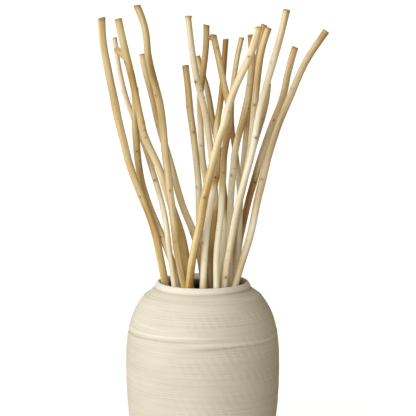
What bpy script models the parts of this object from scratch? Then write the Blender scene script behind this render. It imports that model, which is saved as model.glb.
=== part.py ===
"""A bunch of peeled willow stems standing in a ceramic vase. Millimetres here, metres in the meshes.

The vase stands on the origin with its axis along +Z, and the stems' broadest fan faces -Y. A stem's
route is laid out as a viewer in front sees it, across and up from the middle of the vase's mouth, and
each of its points also has a depth, which grows away from that viewer. Where two stems would touch,
both bend a little in depth, and inside the vase sideways too, until they pass each other.
"""
import math
from collections import namedtuple

import bpy
import numpy as np
from mathutils import Vector

METRES = 0.001
TOUCHING_GAP = 0.3
SHARP_ANGLE = math.radians(40)

# Vase
VASE_HEIGHT = 316.0
VASE_WIDEST = 206.0
FOOT_RADIUS = 64.0
FOOT_CHAMFER = 2.5
MOUTH_RADIUS = 57.0
WALL = 6.0
FLOOR_HEIGHT = 9.0
FLOOR_RADIUS = 54.0
FLOOR_CORNER_SLOPE = 2.0
VASE_SIDES = 44
VASE_RINGS = 30
INSIDE_RINGS = 18
THROWING_PITCH = 24.0
THROWING_DEPTH = 0.5

# The outside of the body, foot to neck, as shares of the vase's height and of its widest radius
BODY_OUTLINE = (
    (0.008, 0.630),
    (0.142, 0.778),
    (0.285, 0.894),
    (0.427, 0.967),
    (0.573, 0.997),
    (0.658, 1.000),
    (0.744, 0.988),
    (0.798, 0.965),
    (0.851, 0.920),
    (0.908, 0.835),
    (0.943, 0.750),
    (0.970, 0.635),
)

# The rolled lip, from the groove under it over its crest into the mouth: (below the top, radius)
LIP_OUTLINE = (
    (8.4, 63.7),
    (7.2, 64.4),
    (4.4, 63.4),
    (2.0, 61.9),
    (0.6, 60.6),
    (0.0, 59.2),
    (0.6, 57.9),
    (2.2, MOUTH_RADIUS),
)

# Viewer
VIEW_DISTANCE = 2400.0
VIEW_DIP = math.radians(8.0)
VIEW_RISE = 98.0

# Stems
STEM_SIDES = 7
RING_SPACING = 20.0
KNOT_SWELL = 0.10
KNOT_REACH = 8.0
KNOT_CLEARANCE = 12.8
SPUR_RADII = (3.0, 2.6)
TALLEST_STEM = 790.0
STEM_GAP = 1.0
SLICE = 10.0
BEND_REACH = 34.0
RIM_BLEND = 45.0
RELAX_ROUNDS = 1200
FEET_REACH = 48.0
WALL_PUSH = 2.0
SHORTEST = 1e-6

PEELED = {
    "pale": (0.72, 0.62, 0.46),
    "straw": (0.62, 0.49, 0.31),
    "honey": (0.52, 0.37, 0.19),
    "brown": (0.38, 0.25, 0.13),
}
CERAMIC = (0.66, 0.60, 0.49)

# diameters: at the cut foot and at the tip; depths: at the foot, the mouth and the tip; foot: across;
# route: (across, up) from the mouth to the tip; knots: heights up the stem; spurs: (up, across, rise)
# of a side twig that was cut short, from its root.
Stem = namedtuple("Stem", "name colour diameters depths foot route knots spurs")

STEMS = (
    Stem("stem_01", "honey", (10.2, 9.4), (40, -5, -70), -8,
         [(-52, 1), (-56, 27), (-61, 54), (-68, 80), (-79, 107), (-90, 134), (-99, 160), (-105, 187),
          (-112, 213), (-117, 240), (-123, 267), (-128, 293), (-133, 320), (-134, 349)],
         (113, 236), ()),
    Stem("stem_02", "pale", (8.8, 6.2), (-44, -30, 30), 6,
         [(-38, 1), (-42, 27), (-46, 54), (-49, 80), (-55, 107), (-63, 134), (-71, 160), (-80, 187),
          (-91, 213), (-101, 240), (-108, 267), (-113, 293), (-117, 323)],
         (133, 252), ()),
    Stem("stem_03", "honey", (10.6, 9.2), (8, -25, -45), 24,
         [(-18, 1), (-22, 27), (-26, 54), (-34, 80), (-44, 107), (-52, 134), (-62, 160), (-69, 174),
          (-76, 187), (-82, 213), (-88, 240), (-93, 267), (-100, 293), (-106, 320), (-112, 348)],
         (190, 210, 290), ((293, -15, 15),)),
    Stem("stem_04", "straw", (9.6, 9.0), (-5, -8, -14), 30,
         [(-34, 1), (-41, 27), (-52, 54), (-63, 80), (-74, 107), (-82, 134), (-86, 160), (-88, 187),
          (-90, 213), (-89, 240), (-90, 258)],
         (59, 172), ()),
    Stem("stem_05", "straw", (9.8, 9.0), (2, -38, -75), 15,
         [(-26, 1), (-29, 14), (-34, 41), (-37, 67), (-40, 94), (-44, 120), (-46, 147), (-50, 174),
          (-52, 200), (-55, 227), (-61, 253), (-68, 280), (-73, 300), (-74, 327), (-76, 340),
          (-82, 353), (-87, 366)],
         (53, 120, 247), ()),
    Stem("stem_06", "straw", (9.4, 8.6), (-11, -27, 25), 42,
         [(0, 14), (-5, 41), (-13, 67), (-25, 94), (-33, 120), (-40, 147), (-48, 174), (-57, 200),
          (-63, 227), (-69, 253), (-77, 280), (-80, 301)],
         (64, 180), ()),
    Stem("stem_07", "straw", (9.6, 8.6), (-32, 2, 55), 14,
         [(1, 14), (-1, 41), (-4, 67), (-5, 94), (-5, 120), (-7, 147), (-10, 174), (-13, 200),
          (-17, 227), (-19, 253), (-23, 286)],
         (123, 197, 231), ()),
    Stem("stem_08", "pale", (9.0, 8.0), (26, 5, -20), 0,
         [(10, 1), (11, 27), (13, 54), (16, 80), (18, 100), (16, 120), (14, 147), (11, 174), (7, 200),
          (3, 227), (-4, 253), (-10, 280), (-14, 307), (-17, 333), (-17, 352)],
         (160, 265), ((340, 5, 9),)),
    Stem("stem_09", "straw", (8.6, 7.8), (-40, -22, 60), -20,
         [(24, 14), (28, 41), (30, 67), (30, 94), (28, 120), (25, 147), (22, 174), (16, 199), (11, 227),
          (6, 256), (-2, 280), (-7, 298)],
         (150,), ()),
    Stem("stem_10", "straw", (9.4, 7.8), (-4, 12, 30), -8,
         [(3, 14), (4, 41), (6, 67), (9, 94), (7, 120), (2, 147), (-1, 167), (-2, 192), (-3, 213),
          (-4, 233), (-3, 252), (0, 271), (3, 296), (5, 313), (5, 340)],
         (180, 262), ()),
    Stem("stem_11", "straw", (8.8, 8.0), (-24, -40, -55), 10,
         [(18, 1), (18, 14), (19, 41), (22, 67), (25, 94), (26, 120), (28, 147), (29, 174), (32, 187),
          (35, 200), (38, 220), (36, 233), (30, 253), (25, 280), (19, 307), (14, 327)],
         (144, 243), ((318, -6, 7),)),
    Stem("stem_12", "brown", (10.6, 7.4), (-34, -44, -10), -10,
         [(1, 1), (2, 27), (4, 54), (7, 80), (12, 107), (16, 127), (19, 142), (21, 158), (20, 174),
          (18, 191), (19, 208), (22, 224), (25, 243), (27, 267), (29, 293), (31, 321)],
         (50, 137), ()),
    Stem("stem_13", "brown", (8.4, 6.6), (-26, -4, 45), -24,
         [(39, 1), (43, 14), (47, 41), (49, 67), (50, 94), (49, 120), (47, 147), (43, 174), (39, 200),
          (38, 227), (40, 253), (43, 280), (48, 307), (52, 323)],
         (170,), ()),
    Stem("stem_14", "brown", (9.4, 8.4), (-24, -16, 5), 32,
         [(36, 14), (36, 41), (36, 67), (37, 94), (38, 120), (41, 147), (43, 174), (50, 200), (57, 227),
          (62, 253), (65, 280), (66, 293), (64, 327)],
         (140, 230), ()),
    Stem("stem_15", "honey", (10.4, 9.4), (6, -42, -95), -41,
         [(-17, 1), (-14, 27), (-8, 54), (-2, 80), (2, 107), (8, 134), (15, 160), (22, 187), (31, 213),
          (37, 240), (48, 267), (61, 293), (71, 320), (75, 337)],
         (112, 226), ()),
    Stem("stem_16", "straw", (9.2, 8.6), (-14, 28, 80), -34,
         [(34, 14), (41, 41), (46, 67), (49, 94), (50, 120), (54, 147), (56, 174), (59, 200), (62, 233),
          (67, 260), (72, 287), (77, 313), (82, 340)],
         (205,), ()),
    Stem("stem_17", "brown", (9.0, 8.2), (18, 20, 40), -32,
         [(22, 1), (28, 27), (35, 54), (42, 80), (50, 107), (56, 134), (63, 160), (70, 187), (78, 213),
          (85, 240), (87, 262)],
         (215,), ()),
    Stem("stem_18", "honey", (9.6, 8.8), (32, 8, -15), -10,
         [(32, 14), (36, 41), (41, 67), (46, 94), (52, 120), (58, 147), (64, 174), (67, 207), (70, 240),
          (73, 267), (76, 293), (82, 320), (88, 336)],
         (234,), ()),
    Stem("stem_19", "pale", (9.2, 8.4), (11, -34, -80), -21,
         [(29, 1), (31, 14), (36, 41), (41, 67), (46, 94), (52, 120), (60, 147), (67, 174), (71, 200),
          (76, 227), (83, 253), (91, 280), (99, 307), (106, 333), (112, 360)],
         (191, 290), ()),
    Stem("stem_20", "brown", (9.6, 8.8), (-41, 8, 75), 22,
         [(44, 1), (46, 27), (49, 54), (55, 80), (61, 107), (69, 134), (76, 160), (85, 187), (95, 213),
          (106, 240), (114, 280), (123, 310)],
         (130, 212), ()),
    Stem("stem_21", "pale", (9.8, 9.0), (-4, -24, -45), -31,
         [(45, 1), (53, 27), (62, 54), (68, 80), (73, 107), (80, 134), (86, 160), (94, 187), (103, 213),
          (115, 240), (126, 267), (138, 293), (147, 307), (156, 320), (165, 332)],
         (135, 255), ()),
)


def smooth_curve(stations, values, at):
    """Values at the given places of a smooth curve through the stations, straight beyond its ends."""
    stations = np.asarray(stations, float)
    values = np.asarray(values, float)
    at = np.asarray(at, float)
    steps = np.diff(stations)
    rises = np.diff(values) / steps
    slopes = np.empty_like(values)
    slopes[0], slopes[-1] = rises[0], rises[-1]
    slopes[1:-1] = (rises[:-1] * steps[1:] + rises[1:] * steps[:-1]) / (steps[1:] + steps[:-1])
    left = np.clip(np.searchsorted(stations, at, side="right") - 1, 0, len(steps) - 1)
    width = steps[left]
    t = np.clip((at - stations[left]) / width, 0.0, 1.0)
    curve = (
        values[left] * (1 + 2 * t) * (1 - t) ** 2
        + slopes[left] * width * t * (1 - t) ** 2
        + values[left + 1] * t**2 * (3 - 2 * t)
        + slopes[left + 1] * width * t**2 * (t - 1)
    )
    below = np.minimum(at - stations[0], 0.0) * slopes[0]
    above = np.maximum(at - stations[-1], 0.0) * slopes[-1]
    return curve + below + above


def outer_radius(height):
    """The body's outer radius without its throwing rings, from the foot to the neck."""
    stations = [share * VASE_HEIGHT for share, _ in BODY_OUTLINE]
    radii = [share * VASE_WIDEST / 2 for _, share in BODY_OUTLINE]
    return smooth_curve(stations, radii, height)


def inner_radius(height):
    """The clear radius inside the vase at each height above its floor."""
    height = np.asarray(height, float)
    body = outer_radius(height) - WALL
    corner = FLOOR_RADIUS + FLOOR_CORNER_SLOPE * np.maximum(height - FLOOR_HEIGHT, 0.0)
    neck = BODY_OUTLINE[-1][0] * VASE_HEIGHT
    return np.where(height > neck, MOUTH_RADIUS, np.minimum(body, corner))


# The viewer's eye and the two axes of the picture plane, which passes through the vase's axis
EYE_FORWARD = np.array([0.0, math.cos(VIEW_DIP), -math.sin(VIEW_DIP)])
EYE_UP = np.array([0.0, math.sin(VIEW_DIP), math.cos(VIEW_DIP)])
EYE = np.array([0.0, 0.0, VASE_HEIGHT + VIEW_RISE]) - EYE_FORWARD * VIEW_DISTANCE
MOUTH_IN_VIEW = (VASE_HEIGHT - EYE[2]) * EYE_UP[2] - EYE[1] * EYE_UP[1]
MOUTH_RANGE = (VASE_HEIGHT - EYE[2]) * EYE_FORWARD[2] - EYE[1] * EYE_FORWARD[1]


def seen_up(depth, height):
    """How far above the mouth's middle a point appears in the picture plane."""
    rise = (depth - EYE[1]) * EYE_UP[1] + (height - EYE[2]) * EYE_UP[2]
    away = (depth - EYE[1]) * EYE_FORWARD[1] + (height - EYE[2]) * EYE_FORWARD[2]
    return (rise / away - MOUTH_IN_VIEW / MOUTH_RANGE) * VIEW_DISTANCE


def across_at(stem, depth, height):
    """Where a stem's route lies across the view for a given depth and height."""
    floor_up = seen_up(stem.depths[0], FLOOR_HEIGHT)
    ups = [floor_up] + [up for _, up in stem.route]
    across = [stem.foot] + [place for place, _ in stem.route]
    away = (depth - EYE[1]) * EYE_FORWARD[1] + (height - EYE[2]) * EYE_FORWARD[2]
    return smooth_curve(ups, across, seen_up(depth, height)) * away / VIEW_DISTANCE


def tip_height(stem):
    """The height at which a stem's tip appears where its route ends."""
    heights = np.arange(VASE_HEIGHT, TALLEST_STEM, 0.5)
    return float(np.interp(stem.route[-1][1], seen_up(stem.depths[2], heights), heights))


def radius_at(stem, height, tip):
    """A stem's radius, which tapers from its foot to its tip and swells a little at each knot."""
    share = np.clip((height - FLOOR_HEIGHT) / (tip - FLOOR_HEIGHT), 0.0, 1.0)
    radius = (stem.diameters[0] + (stem.diameters[1] - stem.diameters[0]) * share) / 2
    for knot in stem.knots:
        away = (height - VASE_HEIGHT - knot) / KNOT_REACH
        radius = radius * (1 + KNOT_SWELL * np.exp(-2 * away**2))
    return radius


def relaxed_routes(stems):
    """Slice heights, and each stem's (across, depth) at every slice, with no two stems touching."""
    tips = np.array([tip_height(stem) for stem in stems])
    levels = np.arange(FLOOR_HEIGHT, tips.max() + 2 * SLICE, SLICE)
    depth = np.array([
        smooth_curve((FLOOR_HEIGHT, VASE_HEIGHT, tip), stem.depths, levels)
        for stem, tip in zip(stems, tips)
    ])
    order = np.sign(depth[:, None] - depth[None, :])
    alive = levels[None, :] <= tips[:, None] + SLICE
    both = alive[:, None] & alive[None, :] & ~np.eye(len(stems), dtype=bool)[:, :, None]
    radius = np.array([radius_at(stem, levels, tip) for stem, tip in zip(stems, tips)])
    need = radius[:, None] + radius[None, :] + STEM_GAP
    inside = np.clip((VASE_HEIGHT + RIM_BLEND - levels) / RIM_BLEND, 0.0, 1.0)
    room = np.where(levels < VASE_HEIGHT + SLICE, inner_radius(levels), np.inf)
    room = room[None, :] - radius - STEM_GAP
    room[:, 0] = FEET_REACH
    spread = np.exp(-((levels[:, None] - levels[None, :]) / BEND_REACH) ** 2 / 2)
    spread /= spread.sum(axis=1, keepdims=True)
    sideways = np.zeros_like(depth)
    for _ in range(RELAX_ROUNDS):
        across = across_of(stems, depth, levels) + sideways
        lean_x = np.gradient(across, SLICE, axis=1)
        lean_y = np.gradient(depth, SLICE, axis=1)
        dx = across[:, None] - across[None, :]
        dy = depth[:, None] - depth[None, :]
        mean_x = (lean_x[:, None] + lean_x[None, :]) / 2
        mean_y = (lean_y[:, None] + lean_y[None, :]) / 2
        along = (dx * mean_x + dy * mean_y) ** 2 / (1 + mean_x**2 + mean_y**2)
        apart = np.sqrt(np.maximum(dx**2 + dy**2 - along, SHORTEST))
        short = np.where(both, np.maximum(need - apart, 0.0), 0.0)
        flat = np.hypot(dx, dy) + SHORTEST
        push_x = (short * dx / flat * inside).sum(axis=1)
        push_y = (short * (dy / flat * inside + order * (1 - inside))).sum(axis=1)
        reach = np.hypot(across, depth) + SHORTEST
        over = np.maximum(reach - room, 0.0)
        push_x -= over * across / reach * WALL_PUSH
        push_y -= over * depth / reach * WALL_PUSH
        sideways += (push_x @ spread) * inside
        depth += push_y @ spread
    return levels, across_of(stems, depth, levels) + sideways, depth, tips


def across_of(stems, depth, levels):
    return np.array([across_at(stem, row, levels) for stem, row in zip(stems, depth)])


def ring_heights(stem, foot, tip):
    """Heights of a stem's rings: evenly spaced, with three more at each knot."""
    count = round((tip - foot) / RING_SPACING)
    heights = list(np.linspace(foot, tip, count + 1))
    for knot in stem.knots:
        middle = VASE_HEIGHT + knot
        heights = [height for height in heights if abs(height - middle) > KNOT_CLEARANCE]
        heights += [middle - KNOT_REACH, middle, middle + KNOT_REACH]
    return sorted(heights)


def ring_points(middle, along, radius, sides):
    """Points round a circle square to the direction along."""
    side = Vector((0, 1, 0)).cross(along).normalized()
    front = along.cross(side)
    turns = [2 * math.pi * i / sides for i in range(sides)]
    return [middle + (side * math.cos(turn) + front * math.sin(turn)) * radius for turn in turns]


def tube_object(name, middles, radii, sides):
    """A closed tube through the middles, square at both ends."""
    points = []
    for i, (middle, radius) in enumerate(zip(middles, radii)):
        before, after = middles[max(i - 1, 0)], middles[min(i + 1, len(middles) - 1)]
        points += ring_points(middle, (after - before).normalized(), radius, sides)
    faces = [tuple(reversed(range(sides)))]
    for ring in range(len(middles) - 1):
        for i in range(sides):
            j = (i + 1) % sides
            low, high = ring * sides, (ring + 1) * sides
            faces.append((low + i, low + j, high + j, high + i))
    faces.append(tuple(range(len(points) - sides, len(points))))
    return mesh_object(name, points, faces)


def mesh_object(name, points, faces):
    mesh = bpy.data.meshes.new(name)
    mesh.from_pydata([point * METRES for point in points], [], faces)
    mesh.shade_smooth()
    mesh.set_sharp_from_angle(angle=SHARP_ANGLE)
    obj = bpy.data.objects.new(name, mesh)
    bpy.context.scene.collection.objects.link(obj)
    return obj


def make_material(name, colour, roughness):
    material = bpy.data.materials.new(name)
    material.use_nodes = True
    shader = material.node_tree.nodes["Principled BSDF"]
    shader.inputs["Base Color"].default_value = (*colour, 1)
    shader.inputs["Roughness"].default_value = roughness
    shader.inputs["Metallic"].default_value = 0.0
    material.diffuse_color = (*colour, 1)
    return material


def fuse(target, addition):
    """Joins an addition to its target and removes the addition."""
    union = target.modifiers.new("union", "BOOLEAN")
    union.operation = "UNION"
    union.object = addition
    with bpy.context.temp_override(object=target):
        bpy.ops.object.modifier_apply(modifier=union.name)
    bpy.data.objects.remove(addition)


def make_stem(stem, levels, across, depth, tip):
    """One stem, with its spurs, from just above the vase's floor to its cut tip."""
    lean = math.hypot(across[1] - across[0], depth[1] - depth[0]) / SLICE
    foot = FLOOR_HEIGHT + TOUCHING_GAP + stem.diameters[0] / 2 * lean / math.hypot(lean, 1)
    heights = ring_heights(stem, foot, tip)
    places = zip(np.interp(heights, levels, across), np.interp(heights, levels, depth), heights)
    middles = [Vector(place) for place in places]
    obj = tube_object(stem.name, middles, radius_at(stem, np.array(heights), tip), STEM_SIDES)
    for up, sidestep, rise in stem.spurs:
        height = VASE_HEIGHT + up
        root = Vector((np.interp(height, levels, across), np.interp(height, levels, depth), height))
        end = root + Vector((sidestep, 0, rise))
        spur = tube_object("spur", [root, end], SPUR_RADII, STEM_SIDES)
        fuse(obj, spur)
    obj.data.materials.append(PEELED_MATERIALS[stem.colour])
    return obj


def vase_outline():
    """(radius, height) from the middle of the underside, up the outside, over the lip and down inside."""
    outline = [(0.0, 0.0), (FOOT_RADIUS - FOOT_CHAMFER, 0.0)]
    low, high = (share * VASE_HEIGHT for share in (BODY_OUTLINE[0][0], BODY_OUTLINE[-1][0]))
    for height in np.linspace(low, high, VASE_RINGS):
        fade = min((height - low) / THROWING_PITCH, (high - height) / THROWING_PITCH, 1.0)
        ripple = THROWING_DEPTH * fade * math.sin(2 * math.pi * height / THROWING_PITCH)
        outline.append((float(outer_radius(height)) + ripple, float(height)))
    outline += [(radius, VASE_HEIGHT - below) for below, radius in LIP_OUTLINE]
    for height in np.linspace(VASE_HEIGHT - LIP_OUTLINE[0][0], FLOOR_HEIGHT, INSIDE_RINGS):
        outline.append((float(inner_radius(height)), float(height)))
    outline.append((0.0, FLOOR_HEIGHT))
    return outline


def make_vase():
    """The vase, turned round its axis."""
    outline = vase_outline()
    points = [Vector((0, 0, outline[0][1]))]
    for radius, height in outline[1:-1]:
        for i in range(VASE_SIDES):
            turn = 2 * math.pi * i / VASE_SIDES
            points.append(Vector((radius * math.cos(turn), radius * math.sin(turn), height)))
    points.append(Vector((0, 0, outline[-1][1])))
    faces = []
    last_ring = 1 + (len(outline) - 3) * VASE_SIDES
    for i in range(VASE_SIDES):
        j = (i + 1) % VASE_SIDES
        faces.append((0, 1 + j, 1 + i))
        for ring in range(1, last_ring, VASE_SIDES):
            faces.append((ring + i, ring + j, ring + VASE_SIDES + j, ring + VASE_SIDES + i))
        faces.append((last_ring + i, last_ring + j, len(points) - 1))
    obj = mesh_object("vase", points, faces)
    obj.data.materials.append(make_material("unglazed_ceramic", CERAMIC, 0.8))


for old in list(bpy.data.objects):
    bpy.data.objects.remove(old)

PEELED_MATERIALS = {
    name: make_material("peeled_willow_" + name, colour, 0.55) for name, colour in PEELED.items()
}
make_vase()
slice_levels, all_across, all_depth, all_tips = relaxed_routes(STEMS)
for stem, stem_across, stem_depth, stem_tip in zip(STEMS, all_across, all_depth, all_tips):
    make_stem(stem, slice_levels, stem_across, stem_depth, stem_tip)
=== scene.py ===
"""Peeled willow stems standing in an unglazed, wheel-thrown vase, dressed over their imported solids.

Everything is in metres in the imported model's own frame: the vase stands on the origin and the viewer is
in front, at -Y. Each stem is made as a straight round blank first, then bent along its solid's route.
"""
import math
from collections import namedtuple

import bmesh
import bpy
import numpy as np
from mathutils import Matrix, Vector, noise


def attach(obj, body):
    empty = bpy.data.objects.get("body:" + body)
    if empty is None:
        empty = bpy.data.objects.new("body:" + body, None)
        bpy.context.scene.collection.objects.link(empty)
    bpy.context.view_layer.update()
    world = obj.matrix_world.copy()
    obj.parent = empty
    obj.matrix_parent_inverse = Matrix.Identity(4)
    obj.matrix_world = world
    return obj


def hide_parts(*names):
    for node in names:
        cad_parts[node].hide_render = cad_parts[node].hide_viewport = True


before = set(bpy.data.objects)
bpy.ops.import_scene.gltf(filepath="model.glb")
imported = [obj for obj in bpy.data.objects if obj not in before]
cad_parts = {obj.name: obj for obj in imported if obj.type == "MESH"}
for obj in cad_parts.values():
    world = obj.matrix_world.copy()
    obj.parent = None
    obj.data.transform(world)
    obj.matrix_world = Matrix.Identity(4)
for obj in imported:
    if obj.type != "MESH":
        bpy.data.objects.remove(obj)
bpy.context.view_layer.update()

MM = 0.001

# Camera: the mouth's height, how far off the eye is, how much it looks down, how far above the mouth it
# looks, how far to the right it stands, and how wide its view is at the vase
MOUTH_HEIGHT = 0.316
VIEW_DISTANCE = 2.4
VIEW_DIP = math.radians(8.0)
VIEW_RISE = 0.098
VIEW_SIDESTEP = 0.0072
VIEW_WIDTH = 0.5533

# Lamps: strength, how wide each looks, how far it is turned to the viewer's left, and how high it stands,
# in degrees. A warm fill comes from all round.
Lamp = namedtuple("Lamp", "name energy spread turn height")
LAMPS = (
    Lamp("key_light", 4.45, 80, 48, 12),
    Lamp("front_light", 0.6, 50, -4, 12),
    Lamp("back_light", 0.35, 60, 160, 12),
)
FILL = 0.31
FILL_COLOUR = (1.0, 0.87, 0.62, 1)

# Floor: how wide it is and in how many sides, its own tone and glow, and the dimmer tone in which it
# throws light back
FLOOR_RADIUS = 60
FLOOR_SIDES = 96
FLOOR_TONE = (0.93, 0.93, 0.93, 1)
FLOOR_ROUGHNESS = 0.9
FLOOR_GLOW = 0.45
FLOOR_BOUNCE = (0.52, 0.47, 0.39, 1)

# Routes, read from level cuts through the solids: how far apart the cuts are, how far from the ends they
# start and stop, and the length over which bends are smoothed. A solid's section has seven sides, and the
# stem drawn over it is a little wider than that section's corners.
SLICE = 4 * MM
END_CLEAR = 4 * MM
SMOOTHING = 6 * MM
SOLID_SIDES = 7
ROUND_SHARE = 1.025

# Heights between which a solid's side twig would spoil the cuts, so that none is made there
SPUR_HEIGHTS = {"stem_03": (0.598, 0.632), "stem_08": (0.648, 0.70), "stem_11": (0.626, 0.70)}

# Stem blanks: faces round, how far apart the rings are, and how far apart near a scar or the tip
STEM_FACETS = 28
RING_STEP = 6 * MM
FINE_STEP = 1.3 * MM
FINE_REACH = 5 * MM

# Cut ends: how far each step of the softened edge rises and how much it narrows, the rings inside the cut,
# how wide each is for what is left, and the share of the radius inside which the wood is cut across
CUT_EDGE_STEPS = ((0.1575 * MM, 0.97), (0.1575 * MM, 0.92))
CUT_RINGS = 3
CUT_RING_SHARE = 0.35
CUT_FACE = 0.95

# How a tip is cut: degrees off square, with the right side raised, and how far down the slant reaches
TIP_SLANTS = {
    "stem_01": 13, "stem_04": -20, "stem_05": -16, "stem_08": -5, "stem_10": -13, "stem_11": -18,
    "stem_12": 8, "stem_13": 8, "stem_15": 18, "stem_16": -12, "stem_19": 5, "stem_20": -8,
}
TIP_REACH = 5 * MM

# The torn bark left round one stem's tip: how far in front of its right side it leans out, how far out it
# stands all round and how much more there, and how far down it reaches
BURRED = "stem_08"
BURR_TURN = 0.35
BURR_OUT = (0.5 * MM, 2.2 * MM)
BURR_DEPTH = 1.1 * MM

# Unevenness of a stem: bumps as a share of its radius, how often they change across a radius and over what
# length, and an oval as a share of its radius, with its twist in radians a metre
BUMPS = 0.03
BUMPS_ACROSS = 0.8
BUMP_LENGTH = 24 * MM
BUMP_SHIFT = 7
OVAL = 0.035
OVAL_TWIST = 9

# A bud scar seen from the front: across and up from the mouth's middle in mm, radius in mm, how dark it is
Bud = namedtuple("Bud", "across up radius dark")

BUDS = {
    "stem_01": (Bud(-83, 113, 1.2, 0.6), Bud(-117, 236, 1.1, 0.3)),
    "stem_02": (Bud(-108, 252, 1.0, 0.5), Bud(-63, 133, 1.3, 0.9)),
    "stem_03": (Bud(-104, 291, 1.4, 0.9), Bud(-77, 210, 1.8, 0.7), Bud(-76, 191, 1.2, 0.5)),
    "stem_04": (Bud(-87, 172, 1.3, 0.8), Bud(-56, 59, 1.3, 0.7)),
    "stem_05": (Bud(-62, 247, 1.4, 0.5), Bud(-43, 120, 1.2, 0.6), Bud(-36, 53, 1.2, 0.4)),
    "stem_06": (Bud(-16, 64, 1.2, 0.6), Bud(-60, 205, 1.1, 0.4)),
    "stem_07": (Bud(-21, 231, 1.3, 0.6), Bud(-12, 197, 1.2, 0.8), Bud(-8, 123, 1.2, 0.6)),
    "stem_08": (Bud(-9, 265, 1.3, 1.0), Bud(15, 158, 1.1, 0.4), Bud(5, 243, 1.0, 0.7)),
    "stem_09": (Bud(25, 150, 1.1, 0.4),),
    "stem_10": (Bud(-2, 180, 1.1, 0.5), Bud(-1, 262, 1.1, 0.4)),
    "stem_11": (Bud(19, 309, 1.1, 0.5), Bud(26, 243, 1.2, 0.5), Bud(28, 144, 1.2, 0.6)),
    "stem_12": (Bud(17, 137, 1.6, 1.0), Bud(-1, 50, 1.3, 0.6)),
    "stem_13": (Bud(43, 172, 1.1, 0.5),),
    "stem_14": (Bud(38, 140, 1.2, 0.6), Bud(61, 230, 1.1, 0.4)),
    "stem_15": (Bud(3, 112, 1.5, 0.8), Bud(36, 226, 1.1, 0.3), Bud(62, 298, 1.0, 0.8)),
    "stem_16": (Bud(58, 205, 1.1, 0.4),),
    "stem_17": (Bud(78, 215, 1.1, 0.4),),
    "stem_18": (Bud(69, 234, 1.3, 0.7), Bud(48, 100, 1.1, 0.4)),
    "stem_19": (
        Bud(91, 290, 1.1, 0.3), Bud(71, 191, 1.2, 0.9), Bud(31, 5, 1.3, 0.9), Bud(116, 365, 1.0, 0.9)),
    "stem_20": (Bud(69, 130, 1.5, 1.0), Bud(94, 212, 1.2, 0.6)),
    "stem_21": (Bud(79, 135, 1.2, 0.6), Bud(119, 255, 1.1, 0.3)),
}

# How near to a stem's edge a scar may be seen, as a share of its radius
SCAR_EDGE = 0.9

# Small scars all round: where the first is and how much that varies, their spacing and how much that
# varies, how fast it varies from stem to stem and along one, the turns of each stem's first and between
# scars, their room from other scars and from the tip, and their radius and darkness
FIRST_SCAR = (60 * MM, 11 * MM)
SCAR_SPACING = (52 * MM, 20 * MM)
SCAR_SCATTER = (3.7, 9)
SCAR_TURNS = (1.9, 2.4)
SCAR_ROOM = 18 * MM
TIP_ROOM = 30 * MM
SMALL_RADIUS = 0.9 * MM
SMALL_DARK = 0.25

# Relief of the darkest scar: its hill's reach round and along the stem, the hill's rise, the pit's width
# as a share of the scar's, and its depth. Then what a place is given that is near no scar.
HILL_REACH = (2.6 * MM, 5 * MM)
HILL_RISE = 0.55 * MM
PIT_SHARE = 0.8
PIT_DEPTH = 0.45 * MM
FAR_FROM_SCARS = (50.0, 50.0, 0.0)

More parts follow.
